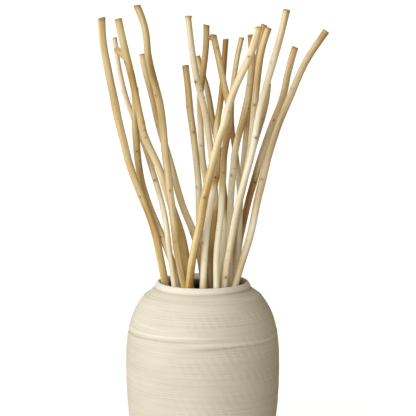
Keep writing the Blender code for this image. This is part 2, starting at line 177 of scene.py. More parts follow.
# How much paler (or darker, below 0) than its own kind a stem is, by the share of its length from the
# foot. This is partly the stem's own tone and partly painted light and painted shade: paler where
# neighbouring stems shade it, darker where it stands in their shadow.
STEM_TONES_AND_PAINTED_LIGHT = {
    "stem_01": ((0.5, 0.0), (0.62, -0.15), (0.72, 0.1), (0.8, 0.15), (1.0, 0.0)),
    "stem_02": ((0.5, 0.05), (0.65, 0.0), (0.72, -0.1), (0.9, 0.1), (1.0, -0.05)),
    "stem_03": (
        (0.5, -0.1), (0.62, 0.1), (0.8, 0.0), (0.85, -0.15), (0.89, -0.2), (0.92, 0.0), (0.97, 0.1)),
    "stem_04": ((0.48, 0.1), (0.72, 0.1), (0.8, -0.15), (1.0, -0.1)),
    "stem_05": ((0.48, 0.0), (0.56, -0.2), (0.64, 0.0), (0.75, -0.1), (1.0, 0.0)),
    "stem_06": ((0.5, -0.1), (0.6, 0.0), (0.75, 0.0), (1.0, -0.05)),
    "stem_07": ((0.5, 0.1), (0.6, 0.25), (0.72, 0.2), (0.85, -0.1), (1.0, 0.0)),
    "stem_08": ((0.48, -0.1), (0.55, -0.35), (0.6, -0.35), (0.63, 0.1), (0.8, 0.15), (1.0, 0.0)),
    "stem_09": ((0.5, 0.4), (0.62, 0.3), (0.67, -0.4), (0.78, -0.5), (0.85, -0.1), (1.0, 0.0)),
    "stem_10": ((0.48, 0.15), (0.6, 0.2), (0.72, 0.05), (0.8, 0.1), (0.88, -0.2), (1.0, -0.1)),
    "stem_11": ((0.5, 0.3), (0.655, 0.4), (0.69, -0.1), (0.79, -0.3), (0.86, 0.0), (1.0, -0.2)),
    "stem_12": ((0.47, 0.0), (0.54, 0.35), (0.675, 0.45), (0.705, -0.2), (0.8, -0.05), (1.0, -0.45)),
    "stem_13": ((0.5, 0.5), (0.71, 0.4), (0.75, -0.35), (0.8, -0.35), (0.86, 0.0), (1.0, 0.0)),
    "stem_14": ((0.5, 0.25), (0.69, 0.5), (0.75, 0.2), (0.8, -0.15), (0.87, 0.15), (1.0, -0.1)),
    "stem_15": ((0.5, -0.2), (0.56, -0.05), (0.6, 0.0), (0.7, 0.0), (0.74, 0.1), (1.0, 0.3)),
    "stem_16": ((0.5, -0.2), (0.56, 0.5), (0.73, 0.5), (0.8, -0.2), (0.88, -0.35), (1.0, -0.15)),
    "stem_17": ((0.5, 0.25), (0.72, 0.0), (0.79, -0.25), (0.85, 0.1), (1.0, 0.15)),
    "stem_18": ((0.48, -0.35), (0.56, 0.1), (0.8, 0.2), (0.9, 0.0), (1.0, 0.1)),
    "stem_19": ((0.48, 0.0), (0.6, 0.2), (0.8, 0.3), (1.0, -0.15)),
    "stem_20": ((0.48, 0.4), (0.55, 0.2), (0.61, -0.25), (0.69, -0.15), (0.76, 0.2), (1.0, -0.05)),
    "stem_21": ((0.48, -0.05), (0.6, 0.05), (0.72, 0.0), (0.79, -0.15), (0.88, 0.05), (1.0, -0.35)),
}

# How much darker a stem is at its very tip, and how far down that reaches
TIP_DARK = 0.3
TIP_DARK_REACH = 2.5 * MM

# Side twigs that were cut short: root height and reach from it in mm, radii at root and end in mm, and how
# much darker the end is
Twig = namedtuple("Twig", "height reach radii dark")

TWIGS = {
    "stem_03": Twig(612.5, (-15, 0, 16), (3.9, 3.4), 0.0),
    "stem_11": Twig(639, (-7, -1.5, 4), (2.5, 2.3), 0.5),
}

# Along a twig from where it leaves the stem: share of the way, and its width against its radius. Past its
# length comes its softened end: how far on, and how wide.
TWIG_PROFILE = ((0.08, 1.22), (0.25, 1.06), (0.5, 1.0), (0.8, 0.98), (1.0, 1.0))
TWIG_END = ((0.2 * MM, 0.96), (0.35 * MM, 0.86))

# How wide the inner corners of a twig's faces may spread for its radius, how much darker a twig gets with
# each step away from its stem, and how far out from the stem's middle line a twig leaves the bark
TWIG_CORE = 0.8
TWIG_DARK = 0.01
BARK_AT_TWIG = 4.8 * MM

# Vase turning: steps round, the spacing of the outline's points outside and inside, how far past the top
# the outside's spacing goes on, and how near to each other points are welded
TURN_STEPS = 160
OUTSIDE_STEP = 0.8 * MM
INSIDE_STEP = 7 * MM
LIP_INSIDE = 12 * MM
WELD = 0.01 * MM

# Between which heights the outline's corners are rounded, and over what height that fades in and out
BODY = (10 * MM, 298 * MM)
BODY_FADE = 6 * MM

# Where the vase is combed, and how softly the combing starts above the foot and stops under the lip
COMBED = (6 * MM, 305 * MM)
COMBED_FADES = (8 * MM, 6 * MM)

# Throwing lines: the comb's pitch, its depth in mm and how much patches add to that, and its sway. Then
# the depth in mm of scratches and broad waves, and for each kind of change how often it comes round the
# vase and how tall it is. The patches are shifted, so that they don't follow the sway.
COMB_PITCH = 3.2 * MM
COMB_DEPTH = 0.08
COMB_PATCHES = 0.14
COMB_SWAY = 3
SCRATCH_DEPTH = 0.13
BROAD_DEPTH = 0.05
SWAY_SCALE = (0.9, 13 * MM)
PATCH_SCALE = (1.6, 16 * MM)
PATCH_SHIFT = 9
SCRATCH_SCALE = (1.2, 1.5 * MM)
BROAD_SCALE = (0.3, 11 * MM)

# Crossed scratches on the right: where they are deepest, their depth in mm, how much of it shows between
# patches, and each set's climb and pitch
CROSSED_TURN = math.radians(-45)
CROSSED_DEPTH = 0.4
CROSSED_START = 0.4
CROSSED_SETS = ((14 * MM, 2.7 * MM), (-11 * MM, 3.1 * MM))

# Lines left by a finger: width in mm, then degrees right of the front, height and raise in mm along each
FINGER_BAND = (232, 276)
FINGER_LINES = (
    (1.6, ((-18, 248.7, 0), (5, 248.5, 0.5), (40, 247, 0.45), (60, 246.5, 0.3), (150, 250, 0.4),
           (285, 255, 0.65), (345, 256.8, 0.6), (385, 257.3, 0))),
    (1.5, ((-20, 243, 0), (3, 242.3, -0.65), (28, 244, -0.55), (50, 243.5, -0.2), (150, 245, -0.4),
           (285, 249.8, -0.6), (340, 251.5, -0.5), (372, 252, 0))),
    (1.5, ((-95, 269, 0), (-68, 268, 0.4), (-45, 265.5, 0.35), (-22, 262, 0))),
)

# Painted light and painted shadow at the lip, by height in mm: a painted shadow in the groove under the
# lip and a painted highlight on the lip itself
LIP_HEIGHTS = (304.5, 307, 309, 311, 316)
LIP_PAINTED_LIGHT_AND_SHADOW = (0, -0.5, 0.1, 0.55, 0.45)

# Where the painted shade inside the mouth starts, and how far on it is full
PAINTED_SHADE_START = 9 * MM
PAINTED_SHADE_LENGTH = 14 * MM

# Wood: how often its streaks, fibres and patches change in a metre, across and along, and its tones from
# dark to pale with the levels that they stand for
STREAKS = (240, 240, 9)
FIBRES = (1500, 1500, 34)
PATCHES = (45, 45, 11)
WILLOW_PLACES = (0.2, 0.42, 0.6, 0.8)
WILLOW_TONES = {
    "peeled_willow_pale": (
        (0.38, 0.25, 0.10), (0.62, 0.50, 0.30), (0.74, 0.66, 0.475), (0.83, 0.78, 0.645)),
    "peeled_willow_straw": (
        (0.32, 0.19, 0.065), (0.53, 0.40, 0.19), (0.67, 0.57, 0.36), (0.79, 0.73, 0.55)),
    "peeled_willow_honey": (
        (0.33, 0.175, 0.045), (0.54, 0.375, 0.145), (0.67, 0.54, 0.30), (0.79, 0.72, 0.52)),
    "peeled_willow_brown": (
        (0.29, 0.155, 0.045), (0.49, 0.325, 0.12), (0.64, 0.51, 0.30), (0.80, 0.73, 0.55)),
}

# A bud scar's halo and its dark spot: from where to where each fades, in scar radii, and its tone
HALO_FADE = (0.8, 4.0)
HALO_SHARE = 0.55
HALO_TONE = (0.34, 0.17, 0.06)
SPOT_FADE = (0.85, 1.4)
SPOT_TONE = (0.085, 0.035, 0.015)

# A cut end: the tones of its rings, how close they are, and the pith's fade in stem radii, with its tone
END_TONES = ((0.25, 0.18, 0.09), (0.42, 0.33, 0.19))
END_RINGS = 34.0
PITH_FADE = (0.10, 0.18)
PITH_TONE = (0.12, 0.06, 0.03)

# Clay: how often its lines, clouds and grit change in a metre, across and upwards, its tones from dark to
# pale with the levels that they stand for, and the tone of the painted shade inside the mouth
LINES = (7, 7, 330)
FINE_LINES = (16, 16, 950)
CLOUDS = (14, 14, 22)
GRIT = (1300, 1300, 1300)
CERAMIC_PLACES = (0.2, 0.5, 0.8)
CERAMIC_TONES = ((0.44, 0.40, 0.315), (0.59, 0.56, 0.48), (0.69, 0.675, 0.60))
PAINTED_SHADE_INSIDE = (0.09, 0.07, 0.05)


# Camera

def eye_axes():
    """The viewer's eye, and the directions it looks along and holds as up."""
    forward = Vector((0, math.cos(VIEW_DIP), -math.sin(VIEW_DIP)))
    upward = Vector((0, math.sin(VIEW_DIP), math.cos(VIEW_DIP)))
    eye = Vector((0, 0, MOUTH_HEIGHT + VIEW_RISE)) - forward * VIEW_DISTANCE
    return eye, forward, upward


def in_picture(place):
    """How far across and up from the mouth's middle a place appears, in the plane of the vase's axis."""
    eye, forward, upward = eye_axes()
    seen = [Vector(p) - eye for p in (place, (0, 0, MOUTH_HEIGHT))]
    across, up = [
        [ray.dot(axis) / ray.dot(forward) * VIEW_DISTANCE for ray in seen]
        for axis in (Vector((1, 0, 0)), upward)
    ]
    return across[0] - across[1], up[0] - up[1]


def make_camera():
    """The camera at the viewer's eye, a little to the right."""
    eye, forward, _ = eye_axes()
    lens = bpy.data.cameras.new("studio_camera")
    lens.sensor_fit = "HORIZONTAL"
    lens.angle = 2 * math.atan(VIEW_WIDTH / 2 / VIEW_DISTANCE)
    lens.clip_start, lens.clip_end = 0.1, 200
    camera = bpy.data.objects.new("studio_camera", lens)
    camera.location = eye + Vector((VIEW_SIDESTEP, 0, 0))
    camera.rotation_mode = "QUATERNION"
    camera.rotation_quaternion = forward.to_track_quat("-Z", "Y")
    bpy.context.scene.collection.objects.link(camera)
    bpy.context.scene.camera = camera


# Reading the solids

def solid_triangles(node):
    """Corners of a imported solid's triangles."""
    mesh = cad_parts[node].data
    mesh.calc_loop_triangles()
    places = np.array([vertex.co for vertex in mesh.vertices])
    return places[np.array([triangle.vertices for triangle in mesh.loop_triangles])]


def level_cut(triangles, height):
    """Middle and area of the outline that a level plane cuts."""
    above = triangles[:, :, 2] > height
    crossed = above.any(axis=1) & ~above.all(axis=1)
    corners, above = triangles[crossed], above[crossed]
    following = np.roll(corners, -1, axis=1)
    following_above = np.roll(above, -1, axis=1)
    rise = following[..., 2] - corners[..., 2]
    share = (height - corners[..., 2]) / np.where(rise == 0, 1, rise)
    cut = corners + share[..., None] * (following - corners)
    start = cut[~above & following_above][:, :2]
    end = cut[above & ~following_above][:, :2]
    centre = start.mean(axis=0)
    start, end = start - centre, end - centre
    wedge = start[:, 0] * end[:, 1] - end[:, 0] * start[:, 1]
    middle = ((start + end) * wedge[:, None]).sum(axis=0) / (3 * wedge.sum())
    return (*(middle + centre), abs(wedge.sum()) / 2)


def smoothed(values, step):
    """Values with their short bends taken out, ends kept."""
    reach = int(3 * SMOOTHING / step)
    before = 2 * values[0] - values[reach:0:-1]
    after = 2 * values[-1] - values[-2:-reach - 2:-1]
    weights = np.exp(-((np.arange(-reach, reach + 1) * step / SMOOTHING) ** 2) / 2)
    return np.convolve(np.concatenate([before, values, after]), weights / weights.sum(), "valid")


class Route:
    """A stem's middle line, with its radius, by the length along it from the foot."""

    def __init__(self, node, skip):
        triangles = solid_triangles(node)
        low, high = triangles[..., 2].min(), triangles[..., 2].max()
        heights = np.arange(low + END_CLEAR, high - END_CLEAR, SLICE)
        heights = np.array([h for h in heights if not skip[0] < h < skip[1]])
        cuts = np.array([level_cut(triangles, height) for height in heights])
        levels = np.linspace(low, high, int((high - low) / SLICE) + 1)
        step = levels[1] - levels[0]
        x, y, area = [smoothed(self.stretched(levels, heights, column), step) for column in cuts.T]
        slope = np.hypot(np.gradient(x, step), np.gradient(y, step))
        round_area = SOLID_SIDES / 2 * math.sin(2 * math.pi / SOLID_SIDES)
        radii = np.sqrt(area / np.hypot(slope, 1) / round_area)
        lean = np.sin(np.arctan(slope)) * radii
        inside = np.linspace(low + lean[0], high - lean[-1], 4 * len(levels))
        self.places = np.array([np.interp(inside, levels, x), np.interp(inside, levels, y), inside]).T
        self.radii = np.interp(inside, levels, radii) * ROUND_SHARE
        steps = np.linalg.norm(np.diff(self.places, axis=0), axis=1)
        self.lengths = np.concatenate([[0], np.cumsum(steps)])
        self.length = self.lengths[-1]
        self.directions = np.gradient(self.places, self.lengths, axis=0)

    @staticmethod
    def stretched(levels, heights, values):
        """Values at every level, carried on straight beyond the first and last that were cut."""
        inner = np.interp(levels, heights, values)
        first_slope = (values[2] - values[0]) / (heights[2] - heights[0])
        last_slope = (values[-1] - values[-3]) / (heights[-1] - heights[-3])
        below = np.minimum(levels - heights[0], 0) * first_slope
        above = np.maximum(levels - heights[-1], 0) * last_slope
        return inner + below + above

    def at(self, length):
        """Place, directions to the right and the back, and radius at a length along the stem."""
        place = Vector([np.interp(length, self.lengths, column) for column in self.places.T])
        along = Vector([np.interp(length, self.lengths, column) for column in self.directions.T])
        right = Vector((0, 1, 0)).cross(along).normalized()
        back = along.normalized().cross(right)
        return place, right, back, float(np.interp(length, self.lengths, self.radii))

    def length_at(self, height):
        """The length along the stem at a height."""
        return float(np.interp(height, self.places[:, 2], self.lengths))


# Bud scars

Scar = namedtuple("Scar", "length turn radius dark")


def seen_scars(name, route):
    """The bud scars that are seen from the front, by length along the stem and turn round it."""
    seen = [in_picture(place) for place in route.places]
    scars = []
    for bud in BUDS[name]:
        i = min(range(len(seen)), key=lambda k: abs(seen[k][1] - bud.up * MM))
        offset = (bud.across * MM - seen[i][0]) / route.radii[i]
        offset = max(-SCAR_EDGE, min(SCAR_EDGE, offset))
        scars.append(Scar(route.lengths[i], -math.acos(offset), bud.radius * MM, bud.dark))
    return scars


def add_small_scars(scars, number, route):
    """Adds small scars up the stem and all round it, clear of those that are there."""
    length = FIRST_SCAR[0] + FIRST_SCAR[1] * (number % 5)
    turn = number * SCAR_TURNS[0]
    while length < route.length - TIP_ROOM:
        if all(abs(length - scar.length) > SCAR_ROOM for scar in scars):
            scars.append(Scar(length, turn, SMALL_RADIUS, SMALL_DARK))
        scatter = noise.noise(Vector((number * SCAR_SCATTER[0], length * SCAR_SCATTER[1], 0)))
        length += SCAR_SPACING[0] + SCAR_SPACING[1] * scatter
        turn += SCAR_TURNS[1]


def scar_relief(across, along, scar):
    """How far a bud scar lifts the wood near it, with its own small pit."""
    hill = math.exp(-((along / HILL_REACH[1]) ** 2) - (across / HILL_REACH[0]) ** 2)
    pit = math.exp(-(((across * across + along * along) / (scar.radius * PIT_SHARE) ** 2) ** 2))
    return scar.dark * (HILL_RISE * hill - PIT_DEPTH * pit)


def near_scars(scars, turn, length, radius):
    """How far scars lift the wood at a place, and where it lies beside the nearest scar.

    The second is its place across and along from that scar, in the scar's radii, and how dark the scar is.
    """
    swell, nearest = 0.0, FAR_FROM_SCARS
    for scar in scars:
        around = (turn - scar.turn + math.pi) % (2 * math.pi) - math.pi
        across, along = around * radius, length - scar.length
        swell += scar_relief(across, along, scar)
        if math.hypot(across, along) / scar.radius < math.hypot(*nearest[:2]):
            nearest = (across / scar.radius, along / scar.radius, scar.dark)
    return swell, nearest


# Stems

def drawn_rim(shape, edges):
    """Draws open edges out once, and returns the new edges with their corners."""
    drawn = bmesh.ops.extrude_edge_only(shape, edges=edges)["geom"]
    edges = [part for part in drawn if isinstance(part, bmesh.types.BMEdge)]
    return edges, [part for part in drawn if isinstance(part, bmesh.types.BMVert)]


def close_end(blank, edges, way):
    """Closes an end with a softened edge and rings of faces towards its pith."""
    for rise, share in CUT_EDGE_STEPS:
        edges, rim = drawn_rim(blank, edges)
        bmesh.ops.translate(blank, vec=(0, 0, way * rise), verts=rim)
        bmesh.ops.scale(blank, vec=(share, share, 1), verts=rim)
    cap = bmesh.ops.contextual_create(blank, geom=edges)["faces"]
    for _ in range(CUT_RINGS):
        width = max(vertex.co.xy.length for vertex in cap[0].verts) * CUT_RING_SHARE
        bmesh.ops.inset_region(blank, faces=cap, thickness=width)


def ring_stations(length, details):
    """Where the rings of a blank go: evenly spaced, and close together at its details."""
    stations = list(np.linspace(0, length, round(length / RING_STEP) + 1))
    half = 0.5 * FINE_STEP
    for detail in details:
        stations = [s for s in stations if abs(s - detail) > FINE_REACH + half]
        fine = np.arange(detail - FINE_REACH, detail + FINE_REACH, FINE_STEP)
        stations += [s for s in fine if half < s < length - half]
    return sorted(set([0.0, float(length)] + stations))


def stem_blank(length, radius, details):
    """A straight round blank of a stem along +Z, with rings close together at its details."""
    blank = bmesh.new()
    for layer in ("grain", "scar", "cut"):
        blank.verts.layers.float_vector.new(layer)
    blank.verts.layers.float.new("shade")
    bmesh.ops.create_circle(blank, segments=STEM_FACETS, radius=radius)
    edges = list(blank.edges)
    close_end(blank, edges, -1)
    stations = ring_stations(length, details)
    for low, high in zip(stations, stations[1:]):
        edges, rim = drawn_rim(blank, edges)
        bmesh.ops.translate(blank, vec=(0, 0, high - low), verts=rim)
    close_end(blank, edges, 1)
    return blank


def tone_and_painted_light_at(name, share):
    """How much paler or darker than its own kind a stem is at a share of its length: its own tone with
    painted light and painted shade.
    """
    shares, levels = zip(*STEM_TONES_AND_PAINTED_LIGHT[name])
    return float(np.interp(share, shares, levels))


def unevenness(x, y, turn, length, number):
    """How much fuller a stem is at a place on its round, as a share of its radius."""
    place = Vector((x * BUMPS_ACROSS, y * BUMPS_ACROSS, length / BUMP_LENGTH + number * BUMP_SHIFT))
    return BUMPS * noise.noise(place) + OVAL * math.cos(2 * (turn - number - length * OVAL_TWIST))


def burr(turn, to_tip):
    """How far the torn bark stands out at a turn and a distance from the tip."""
    lean = max(0.0, math.cos(turn + BURR_TURN))
    return (BURR_OUT[0] + BURR_OUT[1] * lean**4) * math.exp(-to_tip / BURR_DEPTH)


def bend_blank(stem, name, route, scars, radius):
    """Bends a straight blank along its route, with its scars, its unevenness and the slant of its tip."""
    number = int(name[-2:])
    slant = math.tan(math.radians(TIP_SLANTS.get(name, 0)))
    grain, scar_map, cut = [stem.verts.layers.float_vector[layer] for layer in ("grain", "scar", "cut")]
    shade = stem.verts.layers.float["shade"]
    stations = {}
    for vertex in stem.verts:
        x, y, length = vertex.co
        if length not in stations:
            stations[length] = route.at(length)
        place, right, back, here = stations[length]
        turn = math.atan2(y, x)
        share = math.hypot(x, y) / radius
        to_tip = max(route.length - length, 0.0)
        swell, nearest = near_scars(scars, turn, length, here)
        vertex[scar_map] = nearest
        vertex[grain] = (x, y, length + number)
        vertex[cut] = (x / radius, y / radius, 1.0 if share < CUT_FACE else 0.0)
        # The shade level holds the stem's own tone with painted light and painted shade, and its darker
        # tip
        vertex[shade] = tone_and_painted_light_at(name, length / route.length)
        vertex[shade] -= TIP_DARK * math.exp(-to_tip / TIP_DARK_REACH)
        reach = here * (1 + unevenness(x / radius, y / radius, turn, length, number)) + swell
        if name == BURRED:
            reach += burr(turn, to_tip)
        outward = right * math.cos(turn) + back * math.sin(turn)
        beyond = length - min(max(length, 0), route.length)
        tilt = slant * reach * share * math.cos(turn) * max(0.0, 1 - to_tip / TIP_REACH)
        vertex.co = place + outward * reach * share + right.cross(back) * (beyond + tilt)


def twig_exit(route, twig):
    """The length along the stem at which a side twig's upper part leaves it."""
    reach = Vector(twig.reach)
    return route.length_at(twig.height * MM) + BARK_AT_TWIG * reach.z / math.hypot(reach.x, reach.y)


def grow_twig(stem, route, twig):
    """Draws a cut side twig out of the stem's own faces."""
    scar_map, cut = [stem.verts.layers.float_vector[layer] for layer in ("scar", "cut")]
    shade = stem.verts.layers.float["shade"]
    root = route.at(route.length_at(twig.height * MM))[0]
    axis = (Vector(twig.reach) * MM).normalized()
    length = Vector(twig.reach).length * MM

    def spread(place):
        away = place - root
        return away - axis * away.dot(axis)

    patch = []
    for face in stem.faces:
        middle = face.calc_center_median()
        forward = (middle - root).dot(axis)
        if 0 < forward < length and spread(middle).length < twig.radii[0] * MM:
            patch.append(face)
    exit_at = max((face.calc_center_median() - root).dot(axis) for face in patch)
    steps = [(exit_at + (length - exit_at) * share, width) for share, width in TWIG_PROFILE]
    steps += [(length + further, width) for further, width in TWIG_END]
    for step, (distance, width) in enumerate(steps):
        drawn = bmesh.ops.extrude_face_region(stem, geom=patch)["geom"]
        bmesh.ops.delete(stem, geom=patch, context="FACES")
        patch = [part for part in drawn if isinstance(part, bmesh.types.BMFace)]
        inside = set(patch)
        grown = min(max((distance - exit_at) / (length - exit_at), 0), 1)
        radius = (twig.radii[0] + (twig.radii[1] - twig.radii[0]) * grown) * width * MM
        for vertex in {corner for face in patch for corner in face.verts}:
            flat = spread(vertex.co)
            on_edge = any(face not in inside for face in vertex.link_faces)
            reach = radius if on_edge else min(flat.length, TWIG_CORE * radius)
            vertex.co = root + axis * distance + flat.normalized() * reach
            vertex[scar_map] = FAR_FROM_SCARS
            vertex[shade] -= TWIG_DARK
            if step >= len(TWIG_PROFILE):
                vertex[cut] = (*(flat.normalized() * reach / radius).xy, 1.0)
                vertex[shade] -= twig.dark


def make_stem(name):
    """A stem: its blank, bent along the solid's route, with its scars and its side twig."""
    route = Route(name, SPUR_HEIGHTS.get(name, (0, 0)))
    scars = seen_scars(name, route)
    add_small_scars(scars, int(name[-2:]), route)
    details = [route.length] + [scar.length for scar in scars if scar.dark > SMALL_DARK]
    twig = TWIGS.get(name)
    if twig:
        details.append(twig_exit(route, twig))
    radius = float(np.mean(route.radii))
    stem = stem_blank(route.length, radius, details)
    bend_blank(stem, name, route, scars, radius)
    if twig:
        grow_twig(stem, route, twig)
    bmesh.ops.recalc_face_normals(stem, faces=stem.faces)
    finish_piece(stem, "peeled_" + name, name)


def finish_piece(shape, piece_name, node):
    """Makes a shape a piece of the model, in place of a solid and in that solid's finish."""
    mesh = bpy.data.meshes.new(piece_name)
    shape.to_mesh(mesh)
    shape.free()
    mesh.shade_smooth()
    piece = bpy.data.objects.new(piece_name, mesh)
    bpy.context.scene.collection.objects.link(piece)
    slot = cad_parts[node].data.materials[0].name.split(".")[0]
    mesh.materials.append(FINISHES[slot])
    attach(piece, "root")
    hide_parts(node)


# Shader nodes

def add_node(tree, kind, links=(), values=(), **settings):
    """A shader node with its settings, its input values, and links into it from other sockets."""
    node = tree.nodes.new(kind)
    for setting, value in settings.items():
        setattr(node, setting, value)
    for socket, value in values:
        node.inputs[socket].default_value = value
    for socket, source in links:
        tree.links.new(source, node.inputs[socket])
    return node


def new_finish(name):
    """A new material, with its node tree and its shader."""
    finish = bpy.data.materials.new(name)
    finish.use_nodes = True
    tree = finish.node_tree
    return finish, tree, tree.nodes["Principled BSDF"]


def attribute(tree, name, output):
    """What a piece's own attribute holds."""
    return add_node(tree, "ShaderNodeAttribute", attribute_name=name).outputs[output]


def stretched_noise(tree, source, scale, detail):
    """Noise stretched over its source coordinates."""
    placed = add_node(tree, "ShaderNodeMapping", [("Vector", source)], [("Scale", scale)])
    return add_node(
        tree, "ShaderNodeTexNoise", [("Vector", placed.outputs[0])],
        [("Scale", 1.0), ("Detail", detail), ("Roughness", 0.55)],
    ).outputs["Fac"]


def calculated(tree, operation, *terms):
    """A sum on sockets and numbers."""
    links = [(i, term) for i, term in enumerate(terms) if isinstance(term, bpy.types.NodeSocket)]
    values = [(i, term) for i, term in enumerate(terms) if not isinstance(term, bpy.types.NodeSocket)]
    return add_node(tree, "ShaderNodeMath", links, values, operation=operation).outputs[0]


def weighted_sum(tree, terms, level):
    """Sockets, each times its weight, added to a first level."""
    for socket, weight in terms:
        level = calculated(tree, "MULTIPLY_ADD", socket, weight, level)
    return level


def carried_over(tree, value, taken, given, **settings):
    """A value carried over from one range to another."""
    limits = zip(("From Min", "From Max", "To Min", "To Max"), (*taken, *given))
    return add_node(tree, "ShaderNodeMapRange", [("Value", value)], list(limits), **settings).outputs[0]


def faded(tree, value, start, end):
    """1 at the start value, 0 from the end value on, with a soft step between."""
    return carried_over(tree, value, (start, end), (1.0, 0.0), interpolation_type="SMOOTHSTEP")


def blended(tree, share, under, over):
    """One colour laid over another by a share."""
    links, values = [(0, share)], []
    for i, colour in ((6, under), (7, over)):
        if isinstance(colour, bpy.types.NodeSocket):
            links.append((i, colour))
        else:
            values.append((i, (*colour, 1)))
    return add_node(tree, "ShaderNodeMix", links, values, data_type="RGBA").outputs[2]


def toned(tree, level, places, tones):
    """Tones laid along a level, dark to pale."""
    ramp = add_node(tree, "ShaderNodeValToRGB", [(0, level)])
    stops = ramp.color_ramp.elements
    while len(stops) < len(tones):
        stops.new(0.5)
    for stop, place, tone in zip(stops, places, tones):
        stop.position = place
        stop.color = (*tone, 1)
    return ramp.outputs[0]


def length_and_third(tree, vector):
    """The length of a vector's first two parts, and its third part."""
    parts = add_node(tree, "ShaderNodeSeparateXYZ", [(0, vector)]).outputs
    flat = add_node(tree, "ShaderNodeCombineXYZ", [(0, parts[0]), (1, parts[1])]).outputs[0]
    length = add_node(tree, "ShaderNodeVectorMath", [(0, flat)], operation="LENGTH").outputs["Value"]
    return length, parts[2]


def raise_surface(tree, shader, relief, strength, distance):
    """Gives a shader a fine relief."""
    values = [("Strength", strength), ("Distance", distance)]
    bump = add_node(tree, "ShaderNodeBump", [("Height", relief)], values)
    tree.links.new(bump.outputs[0], shader.inputs["Normal"])


def by_camera(tree, unseen, seen, output):
    """Shows one shader to the camera, and lights the rest by another."""
    straight = add_node(tree, "ShaderNodeLightPath").outputs["Is Camera Ray"]
    both = add_node(tree, "ShaderNodeMixShader", [(0, straight), (1, unseen), (2, seen)])
    tree.links.new(both.outputs[0], tree.nodes[output].inputs["Surface"])


# Finishes

def scarred(tree, wood, fibres):
    """Wood with a brown halo and a dark ragged spot at each bud scar."""
    away, dark = length_and_third(tree, attribute(tree, "scar", "Vector"))
    ragged = calculated(tree, "MULTIPLY_ADD", fibres, 0.5, away)
    halo = calculated(tree, "MULTIPLY", faded(tree, ragged, *HALO_FADE), HALO_SHARE)
    wood = blended(tree, calculated(tree, "MULTIPLY", halo, dark), wood, HALO_TONE)
    spot = calculated(tree, "MULTIPLY", faded(tree, ragged, *SPOT_FADE), dark)
    return blended(tree, spot, wood, SPOT_TONE)


def cut_across(tree, wood):
    """Wood with growth rings and pith where it is cut across."""
    from_pith, is_cut = length_and_third(tree, attribute(tree, "cut", "Vector"))
    rings = calculated(tree, "SINE", calculated(tree, "MULTIPLY", from_pith, END_RINGS))
    rings = calculated(tree, "MULTIPLY_ADD", rings, 0.2, 0.5)
    end_wood = blended(tree, rings, *END_TONES)
    end_wood = blended(tree, faded(tree, from_pith, *PITH_FADE), end_wood, PITH_TONE)
    return blended(tree, is_cut, wood, end_wood)


def peeled_willow(name, tones):
    """Peeled willow: long soft streaks through four tones, brown bud scars, ringed cut ends."""
    finish, tree, shader = new_finish(name)
    grain = attribute(tree, "grain", "Vector")
    streaks = stretched_noise(tree, grain, STREAKS, 5)
    fibres = stretched_noise(tree, grain, FIBRES, 3)
    patches = stretched_noise(tree, grain, PATCHES, 2)
    # Each stem's tone along its length, with painted light and painted shade from its neighbours
    shade = attribute(tree, "shade", "Fac")
    level = weighted_sum(tree, ((streaks, 0.75), (patches, 0.75), (fibres, 0.25), (shade, 1.0)), -0.375)
    wood = toned(tree, level, WILLOW_PLACES, tones)
    wood = cut_across(tree, scarred(tree, wood, fibres))
    tree.links.new(wood, shader.inputs["Base Color"])
    rough = carried_over(tree, streaks, (0.3, 0.7), (0.42, 0.62))
    tree.links.new(rough, shader.inputs["Roughness"])
    shader.inputs["Specular IOR Level"].default_value = 0.4
    relief = calculated(tree, "MULTIPLY_ADD", streaks, 0.8, fibres)
    raise_surface(tree, shader, relief, 0.35, 0.2 * MM)
    return finish


def unglazed_ceramic(name):
    """Sandy cream clay with fine throwing lines, darker in the grooves, with painted shade inside the
    mouth and a painted highlight and painted shadow at the lip.
    """
    finish, tree, shader = new_finish(name)
    place = add_node(tree, "ShaderNodeTexCoord").outputs["Object"]
    lines = stretched_noise(tree, place, LINES, 3)
    fine_lines = stretched_noise(tree, place, FINE_LINES, 2)
    clouds = stretched_noise(tree, place, CLOUDS, 3)
    grit = stretched_noise(tree, place, GRIT, 2)
    # The ridge level holds the throwing relief and the lip's painted highlight and painted shadow
    ridge = attribute(tree, "ridge", "Fac")
    parts = ((lines, 0.2), (clouds, 0.3), (fine_lines, 0.3), (grit, 0.25), (ridge, 0.45))
    clay = toned(tree, weighted_sum(tree, parts, -0.025), CERAMIC_PLACES, CERAMIC_TONES)
    # Painted shade: the clay turns dark inside the mouth
    clay = blended(tree, attribute(tree, "inside", "Fac"), clay, PAINTED_SHADE_INSIDE)
    tree.links.new(clay, shader.inputs["Base Color"])
    rough = carried_over(tree, grit, (0.0, 1.0), (0.82, 0.97))
    tree.links.new(rough, shader.inputs["Roughness"])
    shader.inputs["Specular IOR Level"].default_value = 0.3
    relief = calculated(tree, "MULTIPLY_ADD", fine_lines, 0.8, lines)
    relief = calculated(tree, "MULTIPLY_ADD", grit, 0.5, relief)
    raise_surface(tree, shader, relief, 0.5, 0.5 * MM)
    return finish


def make_finishes():
    """The clay and the four kinds of willow, by the names of their slots."""
    finishes = {"unglazed_ceramic": unglazed_ceramic("unglazed_ceramic")}
    for name, tones in WILLOW_TONES.items():
        finishes[name] = peeled_willow(name, tones)
    return finishes


# Vase

def seam_outline(node):
    """The solid's outline on its seam at +X: (radius, height) from under the foot to the inside floor."""
    shell = bmesh.new()
    shell.from_mesh(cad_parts[node].data)
    bmesh.ops.remove_doubles(shell, verts=shell.verts, dist=WELD)
    seam = [v for v in shell.verts if abs(v.co.y) < WELD and v.co.x > -WELD]
    here = min(seam, key=lambda v: (round(v.co.z, 5), v.co.x))
    outline, seen = [], set()
    while here is not None:
        outline.append((here.co.x, here.co.z))
        seen.add(here)
        joined = [edge.other_vert(here) for edge in here.link_edges]
        here = next((v for v in joined if v in seam and v not in seen), None)
    shell.free()
    return [(0.0, outline[0][1])] + outline + [(0.0, outline[-1][1])]


